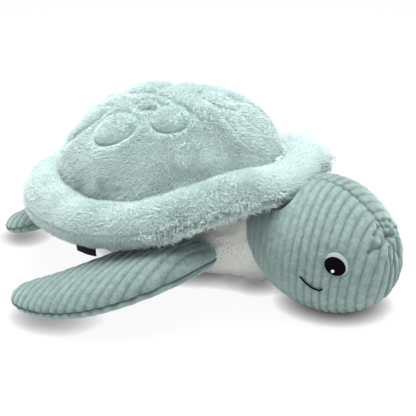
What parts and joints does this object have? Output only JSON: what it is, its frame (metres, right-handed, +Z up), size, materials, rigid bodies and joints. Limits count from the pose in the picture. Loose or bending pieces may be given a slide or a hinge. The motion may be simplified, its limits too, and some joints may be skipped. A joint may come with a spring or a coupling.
{
  "type": "plush turtle",
  "caption": "Stuffed turtle with a fur shell, a corduroy head that turns and lifts a little, and soft corduroy flippers that swing and lift.",
  "frame": {"origin": "middle of the turtle's footprint, on the floor", "axes": "+X towards the head, +Y to the turtle's left, +Z up"},
  "size_m": [0.439, 0.4144, 0.1891],
  "materials": {
    "mint_fur": "long soft pile",
    "mint_corduroy": "jumbo corduroy with a soft nap",
    "white_fur": "short soft pile",
    "filling": "loose polyester fibre",
    "neck_cloth": "woven cotton tape",
    "eye_white_thread": "satin stitch",
    "pupil_thread": "satin stitch",
    "glint_thread": "satin stitch",
    "smile_thread": "satin stitch",
    "quilting_thread": "matte sewing thread",
    "black_ribbon": "woven satin ribbon"
  },
  "bodies": {
    "root": {"shell_dome_cover": "mint_fur", "belly_cover": "white_fur", "body_stuffing": "filling", "shell_rim_top_cover": "mint_fur", "shell_rim_under_cover": "mint_fur", "rim_stuffing": "filling", "scute_stitch_01": "quilting_thread", "scute_stitch_02": "quilting_thread", "scute_stitch_03": "quilting_thread", "scute_stitch_04": "quilting_thread", "scute_stitch_05": "quilting_thread", "scute_stitch_06": "quilting_thread", "scute_stitch_07": "quilting_thread", "scute_stitch_08": "quilting_thread", "scute_stitch_09": "quilting_thread", "side_label": "black_ribbon"},
    "neck": {"neck_tape": "neck_cloth"},
    "head": {"head_cover_right": "mint_corduroy", "head_cover_left": "mint_corduroy", "head_stuffing": "filling", "eye_white_right": "eye_white_thread", "eye_white_left": "eye_white_thread", "pupil_right": "pupil_thread", "pupil_left": "pupil_thread", "glint_right": "glint_thread", "glint_left": "glint_thread", "smile_right": "smile_thread", "smile_left": "smile_thread"},
    "front_flipper_right": {"front_flipper_right_top_cover": "mint_corduroy", "front_flipper_right_bottom_cover": "mint_corduroy", "front_flipper_right_stuffing": "filling"},
    "front_flipper_left": {"front_flipper_left_top_cover": "mint_corduroy", "front_flipper_left_bottom_cover": "mint_corduroy", "front_flipper_left_stuffing": "filling"},
    "rear_flipper_right": {"rear_flipper_right_top_cover": "mint_corduroy", "rear_flipper_right_bottom_cover": "mint_corduroy", "rear_flipper_right_stuffing": "filling"},
    "rear_flipper_left": {"rear_flipper_left_top_cover": "mint_corduroy", "rear_flipper_left_bottom_cover": "mint_corduroy", "rear_flipper_left_stuffing": "filling"}
  },
  "joints": [
    {"name": "head_lift", "type": "hinge", "parent": "root", "child": "neck", "pos_m": [0.071, 0, 0.06], "axis": [0, -1, 0], "range_deg": [0, 5]},
    {"name": "head_turn", "type": "hinge", "parent": "neck", "child": "head", "pos_m": [0.071, 0, 0.06], "axis": [0, 0, 1], "range_deg": [-12, 12]},
    {"name": "front_flipper_right_sweep", "type": "hinge", "parent": "root", "child": "front_flipper_right", "pos_m": [0.032, -0.091, 0.044], "axis": [0, 0, 1], "range_deg": [0, 70]},
    {"name": "front_flipper_left_sweep", "type": "hinge", "parent": "root", "child": "front_flipper_left", "pos_m": [0.032, 0.091, 0.044], "axis": [0, 0, -1], "range_deg": [0, 70]},
    {"name": "rear_flipper_right_lift", "type": "hinge", "parent": "root", "child": "rear_flipper_right", "pos_m": [-0.148, -0.033, 0.033], "axis": [-0.1392, 0.9903, 0], "range_deg": [0, 12]},
    {"name": "rear_flipper_left_lift", "type": "hinge", "parent": "root", "child": "rear_flipper_left", "pos_m": [-0.148, 0.033, 0.033], "axis": [0.1392, 0.9903, 0], "range_deg": [0, 12]}
  ]
}
